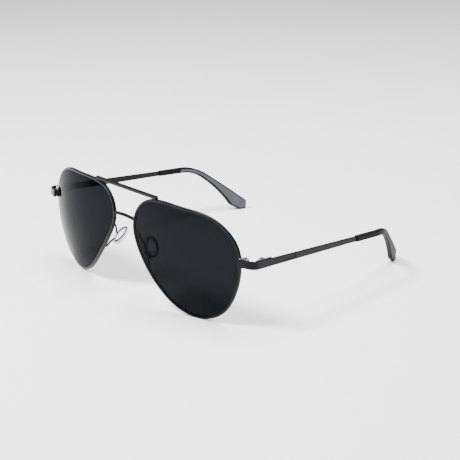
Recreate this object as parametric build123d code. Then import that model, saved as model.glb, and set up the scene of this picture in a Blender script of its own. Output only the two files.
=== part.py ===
from build123d import *
from math import cos, radians, sin, sqrt, tan
import os

# Aviator sunglasses, standing open on a flat surface: they rest on the bottoms of the two
# rims and on the ends of the two temple tips. Millimetres. +X is the wearer's left, +Y runs
# from the front to the temple tips, +Z is up. The origin is on the resting surface, in the
# middle of the bounding box. The left side is modelled and the right side is its mirror image.

# ---- rims and lenses ----
rim_box_width = 61.0        # widest part of a rim, across its own plane
rim_box_height = 52.2       # tallest part of a rim
rim_gap = 13.4              # clear distance between the two rims at the nose
wrap_angle = 10.6           # each lens plane turns back towards the temple by this much
base_radius = 96.8          # spherical base curve that rims and lenses follow
pole_height = 28.8          # height of the sphere's pole above the resting surface
rim_width = 1.3             # rim wire as seen from the front
rim_depth = 1.6             # rim wire from front to back
rim_rounding = 0.35
groove_depth = 0.45         # lens groove inside the rim
bevel_width = 0.6           # edge of the lens, which sits in the groove
lens_thickness = 1.5
lens_clearance = 0.04       # between lens and rim, all round
bevel_slope_room = 0.12     # spare width in the groove, because the lens crosses it at a slope
rim_split = 0.2             # gap in the rim at the closing block

# ---- hinge frame ----
hinge_x = 72.0
hinge_y = 17.4
hinge_z = 31.45
temple_drop = 4.27          # the temples slope down to the rear by this angle
temple_convergence = 2.5    # and lean inwards by this angle

# Rim outline, as shares of the box: across from the nose side, and up from the bottom.
# It runs anticlockwise from the closing block, where the two ends of the rim wire meet.
rim_outline = [
    (0.998, hinge_z / rim_box_height), (0.937, 0.800), (0.756, 0.947), (0.505, 0.985),
    (0.277, 0.992), (0.103, 0.934), (0.002, 0.740), (0.080, 0.470), (0.243, 0.228),
    (0.399, 0.074), (0.595, 0.000), (0.816, 0.080), (0.958, 0.323),
]

# ---- brow bar and bridge ----
brow_length = 43.6
brow_height = 1.4
brow_depth = 1.8
brow_z = 52.3               # middle of the bar
brow_y = 0.9
brow_rounding = 0.25
bridge_diameter = 1.6
bridge_z = 38.7             # where the bridge meets the rims
bridge_rise = 0.6           # how far its middle arches up

# ---- end piece, temple strip ----
strip_thickness = 1.1
strip_height_front = 3.45
strip_height_rear = 2.4
strip_rounding = 0.18
seam_gap = 0.06             # half the gap between end piece and temple, from the hinge axis
temple_length = 62.0        # hinge axis to the front of the temple tip
end_piece_corner = 6.9      # hinge axis forward to the bend of the end piece
end_piece_reach = 7.9      # from the bend inwards, over the rim
end_piece_sweep = 18.0      # the front leg leans back by this angle
end_piece_radius = 3.4      # of the bend, at the strip's middle
recess_start = 9.0          # plain shallow recess on the outside of the temple
recess_length = 10.0
recess_height = 1.5
recess_depth = 0.15

# ---- hinge ----
knuckle_radius = 1.35
hinge_height = 3.8
knuckle_gap = 0.05
leaf_thickness = 0.9
leaf_length = 4.6
leaf_relief = 0.15          # leaf clear of the other half's knuckles
hinge_pin_radius = 0.55
hinge_pin_clearance = 0.04
hinge_head_radius = 0.9
hinge_head_height = 0.45
head_clearance = 0.04
screw_slot_width = 0.25
screw_slot_depth = 0.2

# ---- closing block of the rim ----
lock_width = 3.0
lock_depth = 3.2
lock_x = -4.4               # middle of the block in the hinge frame
lock_y = -6.6
lock_screw_x = -4.3
lock_screw_y = -5.9
lock_screw_radius = 0.45
lock_head_radius = 0.8
lock_head_height = 0.4
lock_hole_clearance = 0.05

# ---- temple tip ----
tip_height = 2.8            # sleeve where it starts
tip_thickness = 2.4
tip_rounding = 0.5
tip_bend_start = 16.6       # straight sleeve before the bend over the ear
top_bend_radius = 22.0
top_bend_angle = 34.5
under_bend_radius = 18.0
under_bend_angle = 36.0
tip_reach = 51.0            # sleeve start to the rear end, along the temple
tip_rear_drop = 18.3        # rear upper corner below the temple's middle line
tip_heel_setback = 8.4      # lower front corner of the paddle, forward of its rear end
tip_heel_lift = 2.8         # that corner above the resting surface
heel_radius = 5.0           # rounding of that corner
tip_sole_length = 3.4       # flat that stands on the resting surface
toe_radius = 1.6            # rounding of the rear upper corner
sole_radius = 1.0           # rounding of the rear lower corner
tip_inward_start = 13.6     # sleeve start to the inward bend
tip_inward_angle = 24.0
tip_inward_radius = 22.0
core_height = 1.3           # metal core inside the sleeve
core_thickness = 0.8
core_end = 14.0             # core stops this far before the tip's rear end
inlay_margin = 0.75         # soft inlay inside the outline of the tip's inner face
inlay_depth = 0.45
inlay_start = 14.2          # sleeve start to the front end of the inlay

# ---- nose pads ----
pad_centre = Vector(11.6, 6.2, 25.0)
pad_long_axis = Vector(-0.43, 0.24, 0.87)
pad_short_axis = Vector(0.10, 0.97, -0.22)
ring_length = 9.6
ring_width = 7.2
ring_wire = 0.8
pad_length = 10.4
pad_width = 8.2
pad_forward = 0.6           # the silicone reaches further forward than the ring
pad_thickness = 2.3
pad_rounding = 0.7
pad_back_cover = 0.25       # silicone behind the ring
pad_arm_wire = 0.9


outline_points = [(x * rim_box_width - rim_box_width / 2, z * rim_box_height) for x, z in rim_outline]
outline_curve = Spline(*outline_points, periodic=True)
outline_stations = 36       # places where an inset outline is measured from the rim's outline
inward_turn = 90            # the outline runs anticlockwise, so inwards is to its left


def inset_point(share, inset):
    """Point inside the rim's outline, in the lens plane, at this share of the way round."""
    inward = outline_curve.tangent_at(share).rotate(Axis.Z, inward_turn)
    return outline_curve.position_at(share) + inward * inset


def outline_face(inset):
    """Flat face inside the rim's outline, in the lens plane, inset by a distance."""
    shares = [station / outline_stations for station in range(outline_stations)]
    return make_face(Spline(*[inset_point(share, inset) for share in shares], periodic=True))


# The lens plane stands upright and turns back by the wrap angle. Its pole touches Y = 0.
nose_reach = rim_box_width / 2
nose_sag = base_radius - sqrt(base_radius**2 - nose_reach**2)
wrap = radians(wrap_angle)
lens_x = rim_gap / 2 + nose_reach * cos(wrap) + nose_sag * sin(wrap)
lens_plane = Plane(origin=(lens_x, 0, 0), x_dir=(cos(wrap), sin(wrap), 0), z_dir=(sin(wrap), -cos(wrap), 0))
sphere_centre = Vector(lens_x - base_radius * sin(wrap), base_radius * cos(wrap), pole_height)
prism_reach = 40.0          # longer than any sag of the lenses
groove_width = bevel_width + 2 * bevel_slope_room
groove_shift = nose_reach / base_radius * (rim_width - groove_depth) / 2


def sag(flat):
    """How far the base curve falls back at a point of the lens plane."""
    return base_radius - sqrt(base_radius**2 - flat.X**2 - (flat.Y - pole_height) ** 2)


def shell(depth):
    """Spherical layer of this depth, centred on the base curve."""
    outer = Sphere(base_radius + depth / 2)
    inner = Sphere(base_radius - depth / 2)
    return Location(sphere_centre) * (outer - inner)


def curved_plate(face, depth):
    """The part of a flat face's prism that lies in the spherical layer."""
    return extrude(lens_plane * face, amount=prism_reach, both=True) & shell(depth)


def largest(shape):
    return max(shape.solids(), key=lambda s: s.volume)


# ---- hinge frame: X outwards, Y along the temple, Z along the hinge axis ----
drop = radians(temple_drop)
converge = radians(temple_convergence)
hinge_axis = Vector(0, sin(drop), cos(drop))
rearward = Vector(0, cos(drop), -sin(drop))
outward = Vector(1, 0, 0) * cos(converge) + rearward * sin(converge)
hinge_frame = Location(Plane(origin=(hinge_x, hinge_y, hinge_z), x_dir=outward, z_dir=hinge_axis))
strip_inner = knuckle_radius + 0.1
strip_middle = strip_inner + strip_thickness / 2


def side_profile(*edges):
    """Closed profile in the hinge frame's YZ plane, as a face at X = 0."""
    return Plane.YZ * make_face(edges)


def slab(profile, low, high):
    """Extrudes a YZ profile over a range of X."""
    return Pos(low, 0, 0) * extrude(profile, amount=high - low)


def band(points, radii, thickness):
    """Plan face of a strip that follows a bent line in the XY plane, with a radius at each corner."""
    line = FilletPolyline(*points, radius=radii)
    return trace(line, line_width=thickness)


def make_rim():
    """Rim wire, swept from one side of the closing block round to the other."""
    middle = rim_width / 2
    gap = rim_split / 2 / outline_curve.length
    points = []
    for station in range(outline_stations + 1):
        flat = inset_point(gap + (1 - 2 * gap) * station / outline_stations, middle)
        points.append(lens_plane.from_local_coords(flat - Vector(0, 0, sag(flat))))
    path = Spline(*points)
    guide = Spline(*[point + lens_plane.z_dir * rim_depth for point in points])
    section_plane = Plane(origin=path @ 0, x_dir=lens_plane.z_dir, z_dir=path % 0)
    section = RectangleRounded(rim_depth, rim_width, rim_rounding)
    section -= Pos(groove_shift, -middle, 0) * Rectangle(groove_width, 2 * groove_depth)
    return sweep(section_plane * section, path=path, binormal=guide)


def make_lens():
    body = curved_plate(outline_face(rim_width + lens_clearance), lens_thickness)
    bevel = curved_plate(outline_face(rim_width - groove_depth + lens_clearance), bevel_width)
    return body + bevel


def make_end_piece(rim):
    start = Vector(0, -seam_gap)
    corner = Vector(0, -end_piece_corner)
    sweep = radians(end_piece_sweep)
    end = corner - Vector(cos(sweep), sin(sweep)) * end_piece_reach
    plan = band([start, corner, end], end_piece_radius, strip_thickness)
    strip = extrude(Pos(strip_middle, 0, 0) * plan, amount=strip_height_front / 2, both=True)
    return largest(hinge_frame * strip - rim)


def make_rim_lock(rim, end_piece, side):
    """Half of the closing block: side is 1 for the upper half and -1 for the lower."""
    height = (strip_height_front - rim_split) / 2
    middle = side * (rim_split / 2 + height / 2)
    block = Pos(lock_x, lock_y, middle) * Box(lock_width, lock_depth, height)
    hole = lock_screw_radius + (lock_hole_clearance if side > 0 else 0)
    block -= Pos(lock_screw_x, lock_screw_y, middle) * Cylinder(hole, height * 2)
    return largest(hinge_frame * block - rim - end_piece)


def screw(shank_radius, shank_low, head_low, head_radius, head_height):
    """Slotted screw along Z."""
    shank = Pos(0, 0, (shank_low + head_low) / 2) * Cylinder(shank_radius, head_low - shank_low)
    head = Pos(0, 0, head_low + head_height / 2) * Cylinder(head_radius, head_height)
    slot_middle = head_low + head_height - screw_slot_depth / 2
    slot = Pos(0, 0, slot_middle) * Box(head_radius * 3, screw_slot_width, screw_slot_depth)
    return shank + head - slot


def make_rim_screw():
    top = strip_height_front / 2
    body = screw(lock_screw_radius, -top, top, lock_head_radius, lock_head_height)
    return hinge_frame * Pos(lock_screw_x, lock_screw_y, 0) * body


def hinge_half(direction, knuckles, gaps):
    """Leaf that runs along direction (1 rearwards, -1 forwards) with its knuckles, clear of the gaps."""
    leaf_x = strip_inner - leaf_thickness / 2
    leaf = Pos(leaf_x, direction * leaf_length / 2, 0) * Box(leaf_thickness, leaf_length, hinge_height)
    for low, high in gaps:
        relief = Cylinder(knuckle_radius + leaf_relief, high - low + 2 * knuckle_gap)
        leaf -= Pos(0, 0, (low + high) / 2) * relief
    for low, high in knuckles:
        middle = Pos(0, 0, (low + high) / 2)
        web = Box(strip_inner, knuckle_radius, high - low)
        leaf += middle * Cylinder(knuckle_radius, high - low)
        leaf += middle * Pos(strip_inner / 2, direction * knuckle_radius / 2, 0) * web
    return leaf


third = (hinge_height - 2 * knuckle_gap) / 3
bottom_knuckle = (-hinge_height / 2, -hinge_height / 2 + third)
middle_knuckle = (-third / 2, third / 2)
top_knuckle = (hinge_height / 2 - third, hinge_height / 2)


def make_hinge_front(end_piece):
    half = hinge_half(-1, [bottom_knuckle, top_knuckle], [middle_knuckle])
    half -= Cylinder(hinge_pin_radius, hinge_height * 2)
    seat_low = hinge_height / 2 - hinge_head_height
    seat_radius = hinge_head_radius + head_clearance
    half -= Pos(0, 0, seat_low + hinge_head_height) * Cylinder(seat_radius, 2 * hinge_head_height)
    return largest(hinge_frame * half - end_piece)


def make_hinge_temple():
    half = hinge_half(1, [middle_knuckle], [bottom_knuckle, top_knuckle])
    half -= Cylinder(hinge_pin_radius + hinge_pin_clearance, hinge_height * 2)
    return hinge_frame * half


def make_hinge_screw():
    head_low = hinge_height / 2 - hinge_head_height
    return hinge_frame * screw(hinge_pin_radius, -hinge_height / 2, head_low, hinge_head_radius, hinge_head_height)


view_reach = 80.0           # longer than any offset of the temple tip from its hinge frame


def floor_level(y):
    """Height in the hinge frame of the resting surface at this distance along the temple."""
    return (y * sin(drop) - hinge_z) / cos(drop)


def tip_side_face():
    """Side view of the temple tip, in the hinge frame."""
    start, end = temple_length, temple_length + tip_reach
    half = tip_height / 2
    bend = start + tip_bend_start
    top_turn, under_turn = radians(top_bend_angle), radians(under_bend_angle)
    top_line = Line((start, half), (bend, half))
    top_arc_end = (bend + top_bend_radius * sin(top_turn), half - top_bend_radius * (1 - cos(top_turn)))
    top_arc = TangentArc((bend, half), top_arc_end, tangent=(1, 0))
    back = TangentArc(top_arc_end, (end, -tip_rear_drop), tangent=(cos(top_turn), -sin(top_turn)))
    rear = Line((end, -tip_rear_drop), (end, floor_level(end)))
    heel_y = end - tip_heel_setback
    heel = (heel_y, floor_level(heel_y) + tip_heel_lift)
    sole_y = end - tip_sole_length
    sole = Line((end, floor_level(end)), (sole_y, floor_level(sole_y)))
    heel_line = Line((sole_y, floor_level(sole_y)), heel)
    under_x = bend + under_bend_radius * sin(under_turn)
    under_arc_end = (under_x, -half - under_bend_radius * (1 - cos(under_turn)))
    front = TangentArc(under_arc_end, heel, tangent=(cos(under_turn), -sin(under_turn)))
    under_arc = TangentArc((bend, -half), under_arc_end, tangent=(1, 0))
    under_line = Line((bend, -half), (start, -half))
    close = Line((start, -half), (start, half))
    face = make_face([top_line, top_arc, back, rear, sole, heel_line, front, under_arc, under_line, close])
    for corner, radius in (
        (heel, heel_radius),
        ((end, -tip_rear_drop), toe_radius),
        ((end, floor_level(end)), sole_radius),
    ):
        face = fillet(face.vertices().sort_by_distance((*corner, 0))[0], radius)
    return face


def tip_plan(offset_in, thickness, end):
    """Plan band of the tip: straight, then bent inwards. offset_in moves it towards the head."""
    turn = radians(tip_inward_angle)
    bend = temple_length + tip_inward_start + (tip_inward_radius - offset_in) * tan(turn / 2)
    run = end - bend
    x = strip_middle - offset_in
    points = [(x, temple_length), (x, bend), (x - run * tan(turn), end)]
    return band(points, tip_inward_radius - offset_in, thickness)


def from_views(side, plan):
    """Solid with this side view and this plan view, in the hinge frame."""
    wide = extrude(Plane.YZ * side, amount=view_reach, both=True)
    tall = extrude(plan, amount=view_reach, both=True)
    return wide & tall


def make_core():
    """Metal core of the temple inside the tip, following the tip's middle line."""
    bend = temple_length + tip_bend_start
    turn = radians((top_bend_angle + under_bend_angle) / 2)
    radius = (top_bend_radius + under_bend_radius) / 2
    end = temple_length + tip_reach - core_end
    corner = bend + radius * tan(turn / 2)
    points = [(temple_length, 0), (corner, 0), (end, -(end - corner) * tan(turn))]
    side = band(points, radius, core_height)
    return from_views(side, tip_plan(0, core_thickness, end + 10))


def make_temple(core):
    front, rear = strip_height_front / 2, strip_height_rear / 2
    corners = [(seam_gap, -front), (temple_length, -rear), (temple_length, rear), (seam_gap, front)]
    side = Plane.YZ * make_face(Polyline(*corners, close=True))
    strip = slab(side, strip_inner, strip_inner + strip_thickness)
    strip = fillet(strip.edges().filter_by(Axis.Y, tolerance=5), strip_rounding)
    outer = strip_inner + strip_thickness
    middle = recess_start + recess_length / 2
    strip -= Pos(outer, middle, 0) * Box(recess_depth * 2, recess_length, recess_height)
    return hinge_frame * (strip + core)


def make_tip(core):
    """Sleeve with a cavity for the core and a pocket for the inlay. Returns the sleeve and the inlay."""
    side = tip_side_face()
    plan_end = temple_length + tip_reach + 10
    sleeve = from_views(side, tip_plan(0, tip_thickness, plan_end))
    sleeve = fillet(tip_long_edges(sleeve), tip_rounding)
    window = offset(side, amount=-inlay_margin)
    window -= Pos(temple_length, 0) * Rectangle(2 * inlay_start, 4 * tip_height)
    pocket_plan = tip_plan((tip_thickness - inlay_depth) / 2, inlay_depth, plan_end)
    inlay = largest(from_views(window, pocket_plan))
    return hinge_frame * (sleeve - core - inlay), hinge_frame * inlay


def tip_long_edges(sleeve):
    """The edges round the side view, on both faces."""
    front = temple_length + 0.01
    return [e for e in sleeve.edges() if e.length > 0.6 and e.bounding_box().max.Y > front and not is_cross_edge(e)]


def is_cross_edge(edge):
    """True for an edge that runs through the tip's thickness."""
    return edge.bounding_box().size.X > 0.9 * tip_thickness and abs(edge.tangent_at(0.5).X) > 0.8


def elliptical_ring(length, width, wire):
    path = Ellipse((length - wire) / 2, (width - wire) / 2).wire()
    section = Plane(origin=path @ 0, z_dir=path % 0) * Circle(wire / 2)
    return sweep(section, path=path)


pad_normal = pad_long_axis.cross(pad_short_axis).normalized()
pad_frame = Location(Plane(origin=pad_centre, x_dir=pad_long_axis, z_dir=pad_normal))


def make_pad_ring():
    return pad_frame * elliptical_ring(ring_length, ring_width, ring_wire)


def pad_arm(points):
    path = Spline(*points)
    return sweep(Plane(origin=path @ 0, z_dir=path % 0) * Circle(pad_arm_wire / 2), path=path)


def make_pad_arms(rim, ring):
    rear = rim_depth / 2
    upper = pad_arm([(9.1, rear - 0.4, 32.6), (9.4, rear + 0.9, 29.6), (10.1, rear + 1.5, 27.9), (11.0, 3.4, 27.0)])
    lower = pad_arm([(16.1, rear - 0.5, 19.3), (14.6, rear + 0.5, 21.4), (13.6, rear + 1.1, 22.7), (13.0, 3.4, 23.5)])
    return largest(upper - rim - ring), largest(lower - rim - ring)


def make_nose_pad(ring, arms):
    body = extrude(Ellipse(pad_length / 2, pad_width / 2), amount=pad_thickness)
    body = fillet(body.edges(), pad_rounding)
    body = pad_frame * Pos(0, -pad_forward, -ring_wire / 2 - pad_back_cover) * body
    for piece in (ring, *arms):
        body -= piece
    return largest(body)


def make_bridge(rims):
    reach = rim_gap / 2 + rim_width * 0.75
    y = -0.35
    path = ThreePointArc((-reach, y, bridge_z), (0, y, bridge_z + bridge_rise), (reach, y, bridge_z))
    wire = sweep(Plane(origin=path @ 0, z_dir=path % 0) * Circle(bridge_diameter / 2), path=path)
    for rim in rims:
        wire -= rim
    return largest(wire)


def make_brow_bar(rims):
    bar = Pos(0, brow_y, brow_z) * Box(brow_length, brow_depth, brow_height)
    bar = fillet(bar.edges().filter_by(Axis.X), brow_rounding)
    for rim in rims:
        bar -= rim
    return largest(bar)


def right_side(shape):
    return mirror(shape, about=Plane.YZ)


def main():
    rim = make_rim()
    end_piece = make_end_piece(rim)
    lock_upper = make_rim_lock(rim, end_piece, 1)
    lock_lower = make_rim_lock(rim, end_piece, -1)
    ring = make_pad_ring()
    arm_upper, arm_lower = make_pad_arms(rim, ring)
    core = make_core()
    tip, inlay = make_tip(core)
    left = {
        "rim": rim,
        "lens": make_lens(),
        "end_piece": end_piece,
        "rim_lock_upper": lock_upper,
        "rim_lock_lower": lock_lower,
        "rim_screw": make_rim_screw(),
        "hinge_front": make_hinge_front(end_piece),
        "hinge_temple": make_hinge_temple(),
        "hinge_screw": make_hinge_screw(),
        "temple": make_temple(core),
        "temple_tip": tip,
        "tip_inlay": inlay,
        "pad_arm_upper": arm_upper,
        "pad_arm_lower": arm_lower,
        "pad_ring": ring,
        "nose_pad": make_nose_pad(ring, (arm_upper, arm_lower)),
    }
    nodes = {f"left_{name}": shape for name, shape in left.items()}
    nodes |= {f"right_{name}": right_side(shape) for name, shape in left.items()}
    rims = (rim, nodes["right_rim"])
    nodes["bridge"] = make_bridge(rims)
    nodes["brow_bar"] = make_brow_bar(rims)

    box = Compound(children=[Compound(s.solids()) for s in nodes.values()]).bounding_box()
    to_origin = Pos(0, -(box.min.Y + box.max.Y) / 2, 0)
    print("moved along Y by", -(box.min.Y + box.max.Y) / 2)
    os.makedirs("parts", exist_ok=True)
    for name, shape in nodes.items():
        export_step(to_origin * Compound(shape.solids()), f"parts/{name}.step")


main()
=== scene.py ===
import math
import bpy
from mathutils import Matrix, Vector


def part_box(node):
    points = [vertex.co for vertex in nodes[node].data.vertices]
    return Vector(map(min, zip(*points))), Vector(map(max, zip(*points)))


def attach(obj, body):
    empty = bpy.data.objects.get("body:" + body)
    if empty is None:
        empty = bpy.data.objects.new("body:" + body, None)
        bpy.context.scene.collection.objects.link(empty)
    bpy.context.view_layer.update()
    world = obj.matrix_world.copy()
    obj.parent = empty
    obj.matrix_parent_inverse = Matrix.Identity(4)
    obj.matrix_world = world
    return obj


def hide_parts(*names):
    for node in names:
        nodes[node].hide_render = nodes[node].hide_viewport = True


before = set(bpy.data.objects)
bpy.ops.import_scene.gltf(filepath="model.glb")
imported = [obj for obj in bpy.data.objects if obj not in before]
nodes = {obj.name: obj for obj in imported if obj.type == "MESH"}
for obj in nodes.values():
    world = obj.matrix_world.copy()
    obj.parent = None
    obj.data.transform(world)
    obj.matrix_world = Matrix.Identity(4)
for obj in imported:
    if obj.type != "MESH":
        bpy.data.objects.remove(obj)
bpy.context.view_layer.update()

sides = ("left", "right")
print("frame loaded:", len(nodes), "nodes")


# ---------- materials ----------

def newMaterial(name):
    material = bpy.data.materials.new(name)
    material.use_nodes = True
    tree = material.node_tree
    shader = tree.nodes["Principled BSDF"]
    coords = tree.nodes.new("ShaderNodeTexCoord")
    return material, tree, shader, coords


def addNoise(tree, coords, perMetre, detail=3, stretch=(1, 1, 1)):
    # noise on Object coordinates; stretch pulls the grain out along an axis
    mapping = tree.nodes.new("ShaderNodeMapping")
    mapping.inputs["Scale"].default_value = stretch
    noise = tree.nodes.new("ShaderNodeTexNoise")
    noise.inputs["Scale"].default_value = perMetre
    noise.inputs["Detail"].default_value = detail
    tree.links.new(coords.outputs["Object"], mapping.inputs["Vector"])
    tree.links.new(mapping.outputs["Vector"], noise.inputs["Vector"])
    return noise


def addRange(tree, source, low, high, fromLow=0.3, fromHigh=0.7):
    # spreads the middle of a noise over the whole range between low and high
    node = tree.nodes.new("ShaderNodeMapRange")
    node.inputs["From Min"].default_value = fromLow
    node.inputs["From Max"].default_value = fromHigh
    node.inputs["To Min"].default_value = low
    node.inputs["To Max"].default_value = high
    tree.links.new(source, node.inputs["Value"])
    return node


def addBlend(tree, source, colorA, colorB, fromLow=0.35, fromHigh=0.65):
    ramp = tree.nodes.new("ShaderNodeValToRGB")
    ramp.color_ramp.elements[0].position = fromLow
    ramp.color_ramp.elements[0].color = (*colorA, 1)
    ramp.color_ramp.elements[1].position = fromHigh
    ramp.color_ramp.elements[1].color = (*colorB, 1)
    tree.links.new(source, ramp.inputs["Fac"])
    return ramp


def addBump(tree, shader, height, strength, distance):
    bump = tree.nodes.new("ShaderNodeBump")
    bump.inputs["Strength"].default_value = strength
    bump.inputs["Distance"].default_value = distance
    tree.links.new(height, bump.inputs["Height"])
    tree.links.new(bump.outputs["Normal"], shader.inputs["Normal"])
    return bump


coatedMetal = {
    "dark": (0.0028, 0.0028, 0.0032), "light": (0.0065, 0.0063, 0.0076),
    "metallic": 0.25, "roughness": (0.27, 0.42), "specular": 0.14,
    "cloudPerMetre": 160, "brushPerMetre": 5200, "brushDetail": 4,
    "brushStretch": (1, 0.06, 1), "brushDepth": 0.000004, "brushStrength": 0.35,
}


def makeCoatedMetal():
    s = coatedMetal
    material, tree, shader, coords = newMaterial("satinBlackMetal")
    cloud = addNoise(tree, coords, s["cloudPerMetre"])
    tint = addBlend(tree, cloud.outputs["Fac"], s["dark"], s["light"])
    tree.links.new(tint.outputs["Color"], shader.inputs["Base Color"])
    brush = addNoise(tree, coords, s["brushPerMetre"], s["brushDetail"], s["brushStretch"])
    rough = addRange(tree, brush.outputs["Fac"], *s["roughness"])
    tree.links.new(rough.outputs["Result"], shader.inputs["Roughness"])
    addBump(tree, shader, brush.outputs["Fac"], s["brushStrength"], s["brushDepth"])
    shader.inputs["Metallic"].default_value = s["metallic"]
    shader.inputs["Specular IOR Level"].default_value = s["specular"]
    return material


bareMetal = {
    "dark": (0.40, 0.39, 0.42), "light": (0.62, 0.60, 0.64),
    "roughness": (0.22, 0.40), "cloudPerMetre": 900, "filePerMetre": 9000,
    "fileDetail": 3, "fileStretch": (1, 1, 0.08), "fileDepth": 0.000006,
    "fileStrength": 0.4,
}


def makeBareMetal():
    s = bareMetal
    material, tree, shader, coords = newMaterial("bareNickelSilver")
    cloud = addNoise(tree, coords, s["cloudPerMetre"])
    tint = addBlend(tree, cloud.outputs["Fac"], s["dark"], s["light"])
    tree.links.new(tint.outputs["Color"], shader.inputs["Base Color"])
    filing = addNoise(tree, coords, s["filePerMetre"], s["fileDetail"], s["fileStretch"])
    rough = addRange(tree, filing.outputs["Fac"], *s["roughness"])
    tree.links.new(rough.outputs["Result"], shader.inputs["Roughness"])
    addBump(tree, shader, filing.outputs["Fac"], s["fileStrength"], s["fileDepth"])
    shader.inputs["Metallic"].default_value = 1.0
    return material


screwMetal = {
    "dark": (0.50, 0.50, 0.52), "light": (0.72, 0.72, 0.74),
    "roughness": (0.14, 0.30), "turningPerMetre": 14000, "turningDetail": 2,
    "turningDepth": 0.000004, "turningStrength": 0.3,
}


def makeScrewMetal():
    s = screwMetal
    material, tree, shader, coords = newMaterial("turnedScrewSteel")
    turning = addNoise(tree, coords, s["turningPerMetre"], s["turningDetail"])
    tint = addBlend(tree, turning.outputs["Fac"], s["dark"], s["light"])
    tree.links.new(tint.outputs["Color"], shader.inputs["Base Color"])
    rough = addRange(tree, turning.outputs["Fac"], *s["roughness"])
    tree.links.new(rough.outputs["Result"], shader.inputs["Roughness"])
    addBump(tree, shader, turning.outputs["Fac"], s["turningStrength"], s["turningDepth"])
    shader.inputs["Metallic"].default_value = 1.0
    return material


lensTint = {
    "low": (0.0072, 0.0084, 0.0092), "high": (0.0072, 0.0081, 0.0098),
    "lowAt": 0.004, "highAt": 0.050, "ior": 1.06, "specular": 0.15,
    "roughness": (0.0, 0.02), "smearPerMetre": 60,
}


def makeLensTint():
    # the tint drifts from neutral green-grey at the bottom to blue-grey at the top
    s = lensTint
    material, tree, shader, coords = newMaterial("smokeGreyLens")
    split = tree.nodes.new("ShaderNodeSeparateXYZ")
    tree.links.new(coords.outputs["Object"], split.inputs["Vector"])
    height = addRange(tree, split.outputs["Z"], 0, 1, s["lowAt"], s["highAt"])
    tint = addBlend(tree, height.outputs["Result"], s["low"], s["high"], 0.0, 1.0)
    tree.links.new(tint.outputs["Color"], shader.inputs["Base Color"])
    smear = addNoise(tree, coords, s["smearPerMetre"])
    rough = addRange(tree, smear.outputs["Fac"], *s["roughness"])
    tree.links.new(rough.outputs["Result"], shader.inputs["Roughness"])
    shader.inputs["Transmission Weight"].default_value = 1.0
    shader.inputs["IOR"].default_value = s["ior"]
    shader.inputs["Specular IOR Level"].default_value = s["specular"]
    return material


tipPlastic = {
    "dark": (0.0045, 0.0045, 0.0052), "light": (0.0070, 0.0070, 0.0080),
    "roughness": (0.42, 0.58), "cloudPerMetre": 220, "grainPerMetre": 5200,
    "grainDetail": 4, "grainDepth": 0.000012, "grainStrength": 0.5, "specular": 0.06,
}


def makeMoulded(name, s):
    # moulded plastic or rubber: soft clouds of colour under a fine spark-eroded grain
    material, tree, shader, coords = newMaterial(name)
    cloud = addNoise(tree, coords, s["cloudPerMetre"])
    tint = addBlend(tree, cloud.outputs["Fac"], s["dark"], s["light"])
    tree.links.new(tint.outputs["Color"], shader.inputs["Base Color"])
    grain = addNoise(tree, coords, s["grainPerMetre"], s["grainDetail"])
    rough = addRange(tree, grain.outputs["Fac"], *s["roughness"])
    tree.links.new(rough.outputs["Result"], shader.inputs["Roughness"])
    addBump(tree, shader, grain.outputs["Fac"], s["grainStrength"], s["grainDepth"])
    shader.inputs["Specular IOR Level"].default_value = s["specular"]
    return material


inlayRubber = {
    "dark": (0.056, 0.056, 0.064), "light": (0.076, 0.076, 0.086),
    "roughness": (0.50, 0.68), "cloudPerMetre": 180, "grainPerMetre": 6000,
    "grainDetail": 4, "grainDepth": 0.000012, "grainStrength": 0.5, "specular": 0.3,
}

padSilicone = {
    "color": (0.90, 0.90, 0.935), "roughness": (0.02, 0.08), "ior": 1.12,
    "bloomPerMetre": 500, "ripplePerMetre": 1500, "rippleDepth": 0.00001,
    "rippleStrength": 0.25,
}


def makePadSilicone():
    s = padSilicone
    material, tree, shader, coords = newMaterial("clearSilicone")
    bloom = addNoise(tree, coords, s["bloomPerMetre"])
    rough = addRange(tree, bloom.outputs["Fac"], *s["roughness"])
    tree.links.new(rough.outputs["Result"], shader.inputs["Roughness"])
    ripple = addNoise(tree, coords, s["ripplePerMetre"])
    addBump(tree, shader, ripple.outputs["Fac"], s["rippleStrength"], s["rippleDepth"])
    shader.inputs["Base Color"].default_value = (*s["color"], 1)
    shader.inputs["Transmission Weight"].default_value = 1.0
    shader.inputs["IOR"].default_value = s["ior"]
    return material


def paint(nodeName, material):
    mesh = nodes[nodeName].data
    mesh.materials.clear()
    mesh.materials.append(material)


blackMetal = makeCoatedMetal()
nickelSilver = makeBareMetal()
screwSteel = makeScrewMetal()
smokeLens = makeLensTint()
charcoalPlastic = makeMoulded("charcoalTipPlastic", tipPlastic)
greyRubber = makeMoulded("greyInlayRubber", inlayRubber)
clearSilicone = makePadSilicone()

finishes = {
    "rim": blackMetal, "end_piece": blackMetal, "temple": blackMetal,
    "pad_arm_upper": blackMetal, "pad_arm_lower": blackMetal, "pad_ring": blackMetal,
    "rim_lock_upper": nickelSilver, "rim_lock_lower": nickelSilver,
    "hinge_front": nickelSilver, "hinge_temple": nickelSilver,
    "rim_screw": screwSteel, "hinge_screw": screwSteel, "lens": smokeLens,
    "temple_tip": charcoalPlastic, "tip_inlay": greyRubber, "nose_pad": clearSilicone,
}
for side in sides:
    for name, material in finishes.items():
        paint(f"{side}_{name}", material)
paint("brow_bar", blackMetal)
paint("bridge", blackMetal)
print("materials done")


# ---------- nose pads ----------

nosePad = {
    "length": 0.0104, "width": 0.0082, "thickness": 0.0019, "crown": 0.0003,
    "longAxis": (-0.43, 0.24, 0.87), "shortAxis": (0.10, 0.97, -0.22),
    "edge": 0.00082, "edgeSteps": 6, "crownInset": 0.0012, "around": 72,
    "heightTolerance": 0.01, "flatNormal": 0.99, "smoothAngle": 50,
}


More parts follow.
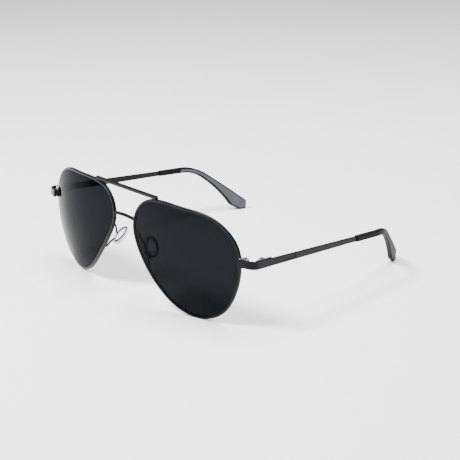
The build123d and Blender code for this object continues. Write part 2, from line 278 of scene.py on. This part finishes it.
def selectRim(mesh, height, tolerance):
    # edges of the two flat ends: both points lie at that height above or below the middle
    for edge in mesh.edges:
        heights = [abs(mesh.vertices[v].co.z) for v in edge.vertices]
        edge.select = all(abs(h - height) < height * tolerance for h in heights)


def modelNosePad(side):
    # a moulded oval with a full round edge and a crowned face towards the nose
    s = nosePad
    bpy.ops.object.select_all(action="DESELECT")
    bpy.ops.mesh.primitive_cylinder_add(vertices=s["around"], radius=0.5, depth=1, end_fill_type="NGON")
    pad = bpy.context.object
    pad.name = f"{side}NosePad"
    bpy.ops.object.mode_set(mode="EDIT")
    bpy.ops.mesh.select_all(action="SELECT")
    bpy.ops.transform.resize(value=(s["length"], s["width"], s["thickness"]))
    bpy.ops.mesh.select_all(action="DESELECT")
    bpy.ops.mesh.select_mode(type="EDGE")
    bpy.ops.object.mode_set(mode="OBJECT")
    selectRim(pad.data, s["thickness"] / 2, s["heightTolerance"])
    bpy.ops.object.mode_set(mode="EDIT")
    bpy.ops.mesh.bevel(
        offset=s["edge"], offset_type="OFFSET", segments=s["edgeSteps"], affect="EDGES"
    )
    bpy.ops.mesh.select_mode(type="FACE")
    bpy.ops.mesh.select_all(action="DESELECT")
    bpy.ops.object.mode_set(mode="OBJECT")
    for face in pad.data.polygons:
        isFlat = face.normal.z > s["flatNormal"]
        face.select = isFlat and len(face.vertices) == s["around"]
    bpy.ops.object.mode_set(mode="EDIT")
    bpy.ops.mesh.inset(thickness=s["crownInset"], depth=s["crown"])
    bpy.ops.mesh.select_all(action="SELECT")
    bpy.ops.mesh.normals_make_consistent(inside=False)
    bpy.ops.object.mode_set(mode="OBJECT")
    bpy.ops.object.shade_smooth_by_angle(angle=math.radians(s["smoothAngle"]))
    placePad(pad, side)
    return pad


def placePad(pad, side):
    # the pad lies where its CAD node lies; the crowned face looks towards the nose
    s = nosePad
    mirror = 1 if side == "left" else -1
    longAxis = Vector(s["longAxis"]).normalized()
    across = Vector(s["shortAxis"])
    across = (across - longAxis * across.dot(longAxis)).normalized()
    low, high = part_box(f"{side}_nose_pad")
    middle = (Vector(low) + Vector(high)) / 2
    longAxis.x *= mirror
    across.x *= mirror
    facing = longAxis.cross(across)
    if facing.x * mirror > 0:
        across = -across
        facing = -facing
    turn = Matrix((longAxis, across, facing)).transposed().to_4x4()
    pad.data.transform(Matrix.Translation(middle) @ turn @ Matrix.Translation((0, 0, -s["crown"] / 2)))


for side in sides:
    pad = modelNosePad(side)
    pad.data.materials.append(clearSilicone)
    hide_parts(f"{side}_nose_pad")
    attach(pad, "front")
    print(pad.name, "done")


# ---------- camera, light and floor ----------

view = {
    "azimuth": 47.12, "elevation": 19.50, "roll": -0.12, "distance": 0.5906,
    "target": (0.02213, -0.01783, 0.02665), "lens": 97.6, "clipStart": 0.01,
}


def placeCamera():
    azimuth, elevation, roll = (math.radians(view[k]) for k in ("azimuth", "elevation", "roll"))
    back = Vector((
        math.sin(azimuth) * math.cos(elevation),
        -math.cos(azimuth) * math.cos(elevation),
        math.sin(elevation),
    ))
    right = Vector((math.cos(azimuth), math.sin(azimuth), 0))
    up = back.cross(right)
    tiltedRight = right * math.cos(roll) + up * math.sin(roll)
    tiltedUp = up * math.cos(roll) - right * math.sin(roll)
    data = bpy.data.cameras.new("photoCamera")
    data.lens = view["lens"]
    data.clip_start = view["clipStart"]
    camera = bpy.data.objects.new("photoCamera", data)
    bpy.context.scene.collection.objects.link(camera)
    turn = Matrix((tiltedRight, tiltedUp, back)).transposed()
    place = Vector(view["target"]) + back * view["distance"]
    camera.matrix_world = Matrix.Translation(place) @ turn.to_4x4()
    bpy.context.scene.camera = camera


studio = {
    "worldColor": (1.0, 1.0, 1.0), "worldStrength": 0.22,
    "lights": [
        ("topSoftbox", (0.0, 0.10, 0.8), (0, 0, 0), 0.50, 13.0),
        ("keySoftbox", (-0.16, -0.50, 0.80), (0, 0, 0), 0.26, 22.0),
        ("backSoftbox", (0.1, 0.95, 0.5), (0, 0, 0.03), 0.8, 1.2),
    ],
    "floorSize": 6.0, "floorColor": (0.93, 0.93, 0.935), "floorRoughness": 0.8,
}


def lightStudio():
    world = bpy.data.worlds.new("studioWorld")
    world.use_nodes = True
    background = world.node_tree.nodes["Background"]
    background.inputs["Color"].default_value = (*studio["worldColor"], 1)
    background.inputs["Strength"].default_value = studio["worldStrength"]
    bpy.context.scene.world = world
    for name, place, aim, size, power in studio["lights"]:
        data = bpy.data.lights.new(name, "AREA")
        data.size = size
        data.energy = power
        light = bpy.data.objects.new(name, data)
        bpy.context.scene.collection.objects.link(light)
        light.location = place
        light.rotation_euler = (Vector(aim) - Vector(place)).to_track_quat("-Z", "Y").to_euler()


def layFloor():
    bpy.ops.mesh.primitive_plane_add(size=studio["floorSize"], location=(0, 0, 0))
    floor = bpy.context.object
    floor.name = "floor"
    material, tree, shader, coords = newMaterial("paleFloor")
    shader.inputs["Base Color"].default_value = (*studio["floorColor"], 1)
    shader.inputs["Roughness"].default_value = studio["floorRoughness"]
    floor.data.materials.append(material)


placeCamera()
lightStudio()
layFloor()
print("camera, light and floor done")
